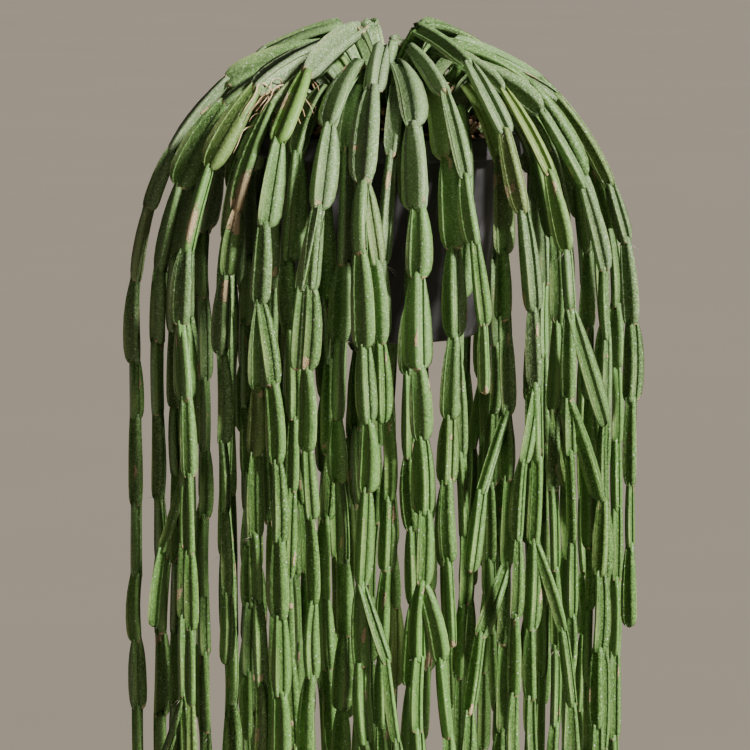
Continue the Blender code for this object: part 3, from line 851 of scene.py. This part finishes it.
def build_pot(settings, look):
    """The moulded pot: a tapered wall with soft ribs, a turned-down lip, and its two rings of holes."""
    outline = fine_outline(pot_outline(), 4.0 * MM)
    points, faces = turn_about(outline, 144)
    angle = np.arctan2(points[:, 1], points[:, 0])
    wall = smooth_step(points[:, 2], -POT_HEIGHT + 10.0 * MM, -POT_HEIGHT + 22.0 * MM)
    wall *= 1.0 - smooth_step(points[:, 2], -LIP_HEIGHT - 22.0 * MM, -LIP_HEIGHT - 8.0 * MM)
    ribs = 0.25 * MM * wall * np.cos(settings.ribs * angle)
    radius = np.linalg.norm(points[:, :2], axis=1) + 1e-9
    points[:, :2] *= (1.0 + ribs / radius)[:, None]
    pot = make_piece("moulded_pot", points, faces, look)
    drill(pot, settings.hanger_hole / 2.0, RIM_RADIUS - LIP_THICKNESS - 2.0 * MM, 3, 0.0)
    drill(pot, settings.drain_hole / 2.0, 26.0 * MM, 6, -POT_HEIGHT + FOOT_RECESS)
    pot.data.set_sharp_from_angle(angle=math.radians(40.0))
    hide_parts("pot")
    return pot


def build_mix(look):
    """The root ball: a heaped, crumbly top and sides that follow the pot's wall just clear of it.

    The top is the paraboloid of the heap with three sizes of soft random relief added, which
    fade out at the edge.
    """
    floor = -POT_HEIGHT + FOOT_RECESS + WALL
    radii = np.linspace(0.0, MIX_RADIUS, 46)
    top = np.stack([radii, mix_height(radii)], axis=1)
    sides = np.array([
        (BASE_RADIUS - WALL + 0.2 * MM, floor + 3.4 * MM),
        (BASE_RADIUS - WALL - 1.8 * MM, floor + GAP),
        (0.0, floor + GAP),
    ])
    points, faces = turn_about(fine_outline(np.concatenate([top, sides]), 6.0 * MM), 150)
    radius = np.linalg.norm(points[:, :2], axis=1)
    heap = (points[:, 2] > MIX_EDGE - 0.5 * MM) * (1.0 - smooth_step(radius, 0.9 * MIX_RADIUS, MIX_RADIUS))
    lumps = ((1.6, 16.0), (1.1, 5.0), (0.7, 2.6))
    relief = sum(height * ripple(points, size * MM, seed) for seed, (height, size) in enumerate(lumps, 1))
    points[:, 2] += MM * heap * relief
    ball = make_piece("root_ball", points, faces, look)
    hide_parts("potting_mix")
    return ball


def blunt(value):
    """Square root of a value's size, with its sign kept."""
    return np.sign(value) * np.abs(value) ** 0.5


def build_bark(settings, look):
    """Chips of bark strewn over the heap: bent, squashed spheres with blunt corners.

    A chip is the superellipsoid (cos^0.5 v cos^0.5 w, cos^0.5 v sin^0.5 w, sin^0.5 v) with
    signs kept, stretched to a length, a width and a thickness, roughened and turned.
    """
    rng = np.random.default_rng(5)
    high = np.radians(np.linspace(-78.0, 78.0, 6))[:, None]
    turn = np.radians(np.arange(10) * 36.0)[None]
    ball = np.stack(np.broadcast_arrays(blunt(np.cos(high)) * blunt(np.cos(turn)),
                                        blunt(np.cos(high)) * blunt(np.sin(turn)),
                                        blunt(np.sin(high))), axis=-1)
    faces = grid_faces(6, 10, True).tolist() + [list(range(10))[::-1], list(range(50, 60))]
    chips = []
    for _ in range(settings.bark_chips):
        size = np.array([rng.uniform(2.0, 5.5), rng.uniform(1.4, 3.0), rng.uniform(0.5, 1.2)]) * MM
        shape = ball * size * (1.0 + 0.12 * rng.normal(size=ball.shape[:2])[..., None])
        axes, _ = np.linalg.qr(rng.normal(size=(3, 3)) + np.diag([0.0, 0.0, 2.2]))
        axes *= np.sign(np.linalg.det(axes))
        away = MIX_RADIUS * 0.95 * math.sqrt(rng.random())
        angle = rng.uniform(0.0, 2.0 * math.pi)
        spot = np.array([away * math.sin(angle), -away * math.cos(angle), mix_height(away) + 1.2 * MM])
        chips.append(((shape @ axes.T).reshape(-1, 3) + spot, faces))
    points, quads, owner = merged(chips)
    tone = rng.random(len(chips)) ** 1.6
    return make_piece("bark_chips", points, quads, look, {"tone": tone[owner]}, False)


# Tufts of dead surface roots: (azimuth in degrees, distance from the axis in mm, spread in
# degrees, number of roots, how far they reach outwards and how high they arch, both in mm).
ROOT_TUFTS = (
    (-55.0, 58.0, 5.0, 30, 40.0, 31.0),
    (-41.0, 60.0, 6.0, 7, 12.0, 10.0),
    (24.0, 45.0, 12.0, 16, 18.0, 22.0),
    (42.0, 58.0, 8.0, 10, 14.0, 16.0),
    (-10.0, 50.0, 20.0, 6, 8.0, 8.0),
    (150.0, 50.0, 40.0, 12, 12.0, 8.0),
    (-150.0, 52.0, 40.0, 12, 12.0, 8.0),
)


def build_roots(look):
    """Tufts of dead roots on the heap's edge: each a tapering tube along a wandering path.

    A path starts on the heap and runs outwards; its sideways and upward wander are sines
    with random phases, and past the edge of the pot it droops as a parabola.
    """
    rng = np.random.default_rng(23)
    steps = np.linspace(0.0, 1.0, 16)
    roots = []
    for azimuth, away, spread, count, reach, lift in ROOT_TUFTS:
        for _ in range(count):
            angle = math.radians(azimuth + rng.normal(0.0, spread) * 0.6)
            start = (away + rng.normal(0.0, 4.0)) * MM
            radius = start + steps * rng.uniform(0.4, 1.0) * reach * MM
            lean = math.radians(rng.normal(0.0, 14.0))
            phase = rng.uniform(0.0, 6.3, 3)
            swing = angle + lean * steps + 0.03 * np.sin(7.0 * steps + phase[0])
            swing = swing + 0.015 * np.sin(19.0 * steps + phase[1])
            height = mix_height(start) + lift * MM * rng.uniform(0.3, 1.0) * np.sin(2.4 * steps)
            height = height + 0.8 * MM * np.sin(15.0 * steps + phase[2])
            over = np.clip(radius - RIM_RADIUS + 2.0 * MM, 0.0, None)
            height = np.maximum(height, mix_height(radius) + 0.6 * MM) + 2.5 * MM - over ** 2 * 18.0
            path = np.stack([radius * np.sin(swing), -radius * np.cos(swing), height], axis=1)
            thick = rng.uniform(0.4, 1.0) * MM * (1.0 - 0.75 * steps) * (1.0 + 0.15 * rng.normal(size=16))
            roots.append(tube(path, np.clip(thick, 0.08 * MM, None), 6))
    points, faces, owner = merged(roots)
    tone = rng.random(len(roots))
    return make_piece("dry_roots", points, faces, look, {"tone": tone[owner]})


# ---- stage ----
KEY_WAY = Vector((-0.54, 0.79, -0.6))


def build_stage(settings):
    """A wide pale floor below the stems, one soft key from the right front, a dim sky and the camera."""
    low = min(corner[2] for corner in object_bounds())
    across = np.linspace(-settings.floor_size / 2.0, settings.floor_size / 2.0, 9)
    spread_x, spread_y = np.meshgrid(across, across)
    points = np.stack([spread_x, spread_y, np.full_like(spread_x, low - settings.floor_drop)], axis=-1)
    mesh = bpy.data.meshes.new("studio_floor")
    mesh.from_pydata(points.reshape(-1, 3).tolist(), [], grid_faces(9, 9, False).tolist())
    mesh.materials.append(floor_look(settings))
    floor = bpy.data.objects.new("studio_floor", mesh)
    bpy.context.scene.collection.objects.link(floor)
    floor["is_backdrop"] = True

    data = bpy.data.lights.new("key", "SUN")
    data.energy = settings.key_strength
    data.angle = settings.key_softness
    data.color = linear("FFFAF2")
    key = bpy.data.objects.new("key", data)
    key.rotation_euler = KEY_WAY.to_track_quat("-Z", "Y").to_euler()
    bpy.context.scene.collection.objects.link(key)

    world = bpy.data.worlds.new("Soft studio")
    world.use_nodes = True
    background = world.node_tree.nodes["Background"]
    background.inputs["Color"].default_value = (*linear("D9D5CE"), 1.0)
    background.inputs["Strength"].default_value = settings.sky_strength
    bpy.context.scene.world = world

    aim = Vector((settings.aim_x, 0.0, settings.aim_z))
    tilt = settings.camera_height
    back = Vector((0.0, -math.cos(tilt), math.sin(tilt))) * settings.camera_distance
    data = bpy.data.cameras.new("camera")
    data.lens = data.sensor_width * settings.camera_distance / settings.view_width
    data.clip_end = 100.0
    camera = bpy.data.objects.new("camera", data)
    camera.location = aim + back
    camera.rotation_euler = (-back).to_track_quat("-Z", "Y").to_euler()
    bpy.context.scene.collection.objects.link(camera)
    bpy.context.scene.camera = camera


# ---- settings ----
def distance(name, description, default):
    """A length in metres."""
    return FloatProperty(name=name, description=description, default=default, unit="LENGTH",
                         subtype="DISTANCE")


def colour(name, description, hex_colour):
    """A linear colour from an sRGB hex one."""
    return FloatVectorProperty(name=name, description=description, default=linear(hex_colour),
                               size=3, min=0.0, max=1.0, subtype="COLOR")


def share(name, description, default, most=1.0):
    """A part of a whole."""
    return FloatProperty(name=name, description=description, default=default, min=0.0, max=most,
                         subtype="FACTOR")


class StemSettings(bpy.types.PropertyGroup):
    """Sizes and colours of the stems."""

    wing_reach: distance("Wing reach", "From a segment's middle to a wing's edge, on the crown", 8.0 * MM)
    neck_share: share("Neck", "A joint's radius as a share of the wings' reach", 0.39)
    slimming: share("Slimming", "How much slimmer a segment is far below the pot", 0.3, 0.8)
    tuck: share("Tuck", "How far a segment starts inside the one before it", 0.05, 0.2)
    springiness: share("Springiness", "How far a segment bends along its arch", 0.6)
    tuft_share: share("Tufted joints", "Share of the joints that carry bristles", 0.12)
    deep_green: colour("Deep green", "Older skin and the valleys between wings", "29481F")
    fresh_green: colour("Fresh green", "Young, well-lit skin", "6E9F52")
    pale_green: colour("Pale green", "Light mottling", "8AB463")
    # Colour of the painted highlight along the wing edges.
    ridge_highlight_green: colour("Ridge green", "Edges of the wings", "BCD488")
    chalk: colour("Chalk", "Grey scale and dust on the skin", "92A084")
    yellowed: colour("Yellowed", "Sun-bleached and ageing skin", "B6B660")
    cork: colour("Cork", "Dried scars", "E4D2AC")


class PotSettings(bpy.types.PropertyGroup):
    """Sizes and colours of the pot."""

    hanger_hole: distance("Hanger hole", "Diameter of the three holes in the rim", 3.2 * MM)
    drain_hole: distance("Drain hole", "Diameter of the six holes in the floor", 9.0 * MM)
    ribs: IntProperty(name="Ribs", description="Soft upright ribs round the wall", default=36, min=0)
    plastic: colour("Plastic", "Clean moulded wall", "2B2A2D")
    lime_film: colour("Lime film", "Hard-water film on the wall", "59575A")


class MixSettings(bpy.types.PropertyGroup):
    """The root ball."""

    bark_chips: IntProperty(name="Bark chips", description="Chips strewn over the heap", default=190, min=1)


class StageSettings(bpy.types.PropertyGroup):
    """Floor, light and camera."""

    floor_size: distance("Floor size", "Side of the square floor", 60.0)
    floor_drop: distance("Floor drop", "How far the floor lies below the lowest tip", 0.35)
    plaster: colour("Plaster", "Floor paint", "91897E")
    key_strength: FloatProperty(name="Key", description="Strength of the key light", default=7.3, min=0.0)
    key_softness: FloatProperty(name="Key softness", description="Width of the key light seen from the plant",
                                default=math.radians(6.0), min=0.0, subtype="ANGLE")
    sky_strength: FloatProperty(name="Sky", description="Strength of the surrounding light", default=0.1)
    camera_distance: distance("Camera distance", "From the aim point to the camera", 2.4)
    camera_height: FloatProperty(name="Camera height", description="Angle of the camera above level",
                                 default=math.radians(7.5), subtype="ANGLE")
    view_width: distance("View width", "Width that the picture covers at the aim point", 0.42)
    aim_x: distance("Aim across", "Aim point, across", -0.0073)
    aim_z: distance("Aim height", "Aim point, above the rim plane", -0.1366)


# ---- operators ----
class RHIPSALIS_OT_pot(bpy.types.Operator):
    """Build the moulded pot"""

    bl_idname = "rhipsalis.pot"
    bl_label = "Build Pot"

    def execute(self, context):
        settings = context.scene.rhipsalis_pot
        build_pot(settings, pot_plastic_look(settings))
        return {"FINISHED"}


class RHIPSALIS_OT_mix(bpy.types.Operator):
    """Build the root ball with its bark chips and dead roots"""

    bl_idname = "rhipsalis.mix"
    bl_label = "Build Root Ball"

    def execute(self, context):
        build_mix(potting_mix_look())
        build_bark(context.scene.rhipsalis_mix, bark_look())
        build_roots(root_look())
        return {"FINISHED"}


class RHIPSALIS_OT_stems(bpy.types.Operator):
    """Build every stem with its side shoots"""

    bl_idname = "rhipsalis.stems"
    bl_label = "Build Stems"

    def execute(self, context):
        settings = context.scene.rhipsalis_stems
        look = stem_skin_look(settings)
        rng = np.random.default_rng(19)
        for stem in all_stems():
            build_stem(stem, settings, look, rng)
        return {"FINISHED"}


class RHIPSALIS_OT_bristles(bpy.types.Operator):
    """Build the bristles at the joints"""

    bl_idname = "rhipsalis.bristles"
    bl_label = "Build Bristles"

    def execute(self, context):
        build_bristles(all_stems(), context.scene.rhipsalis_stems, bristle_look())
        return {"FINISHED"}


class RHIPSALIS_OT_stage(bpy.types.Operator):
    """Build the floor, the lights and the camera"""

    bl_idname = "rhipsalis.stage"
    bl_label = "Build Stage"

    def execute(self, context):
        build_stage(context.scene.rhipsalis_stage)
        return {"FINISHED"}


class RHIPSALIS_PT_panel(bpy.types.Panel):
    """Lists the operators and their settings"""

    bl_idname = "RHIPSALIS_PT_panel"
    bl_label = "Chain Cactus"
    bl_space_type = "VIEW_3D"
    bl_region_type = "UI"
    bl_category = "Chain Cactus"

    def draw(self, context):
        for operator, group in STEPS:
            box = self.layout.box()
            box.operator(operator.bl_idname)
            if group:
                settings = getattr(context.scene, group)
                for key in settings.__annotations__:
                    box.prop(settings, key)


STEPS = (
    (RHIPSALIS_OT_pot, "rhipsalis_pot"),
    (RHIPSALIS_OT_mix, "rhipsalis_mix"),
    (RHIPSALIS_OT_stems, "rhipsalis_stems"),
    (RHIPSALIS_OT_bristles, None),
    (RHIPSALIS_OT_stage, "rhipsalis_stage"),
)
GROUPS = {
    "rhipsalis_pot": PotSettings,
    "rhipsalis_mix": MixSettings,
    "rhipsalis_stems": StemSettings,
    "rhipsalis_stage": StageSettings,
}
CLASSES = (*GROUPS.values(), *(step[0] for step in STEPS), RHIPSALIS_PT_panel)


def register():
    """Registers the classes and puts the settings on the scene."""
    for kind in CLASSES:
        bpy.utils.register_class(kind)
    for key, group in GROUPS.items():
        setattr(bpy.types.Scene, key, PointerProperty(type=group))


def unregister():
    """Takes the settings and the classes away again."""
    for key in GROUPS:
        delattr(bpy.types.Scene, key)
    for kind in reversed(CLASSES):
        bpy.utils.unregister_class(kind)


def main():
    """Builds every piece in order."""
    register()
    bpy.ops.rhipsalis.pot()
    bpy.ops.rhipsalis.mix()
    bpy.ops.rhipsalis.stems()
    bpy.ops.rhipsalis.bristles()
    bpy.ops.rhipsalis.stage()


if __name__ == "__main__":
    main()
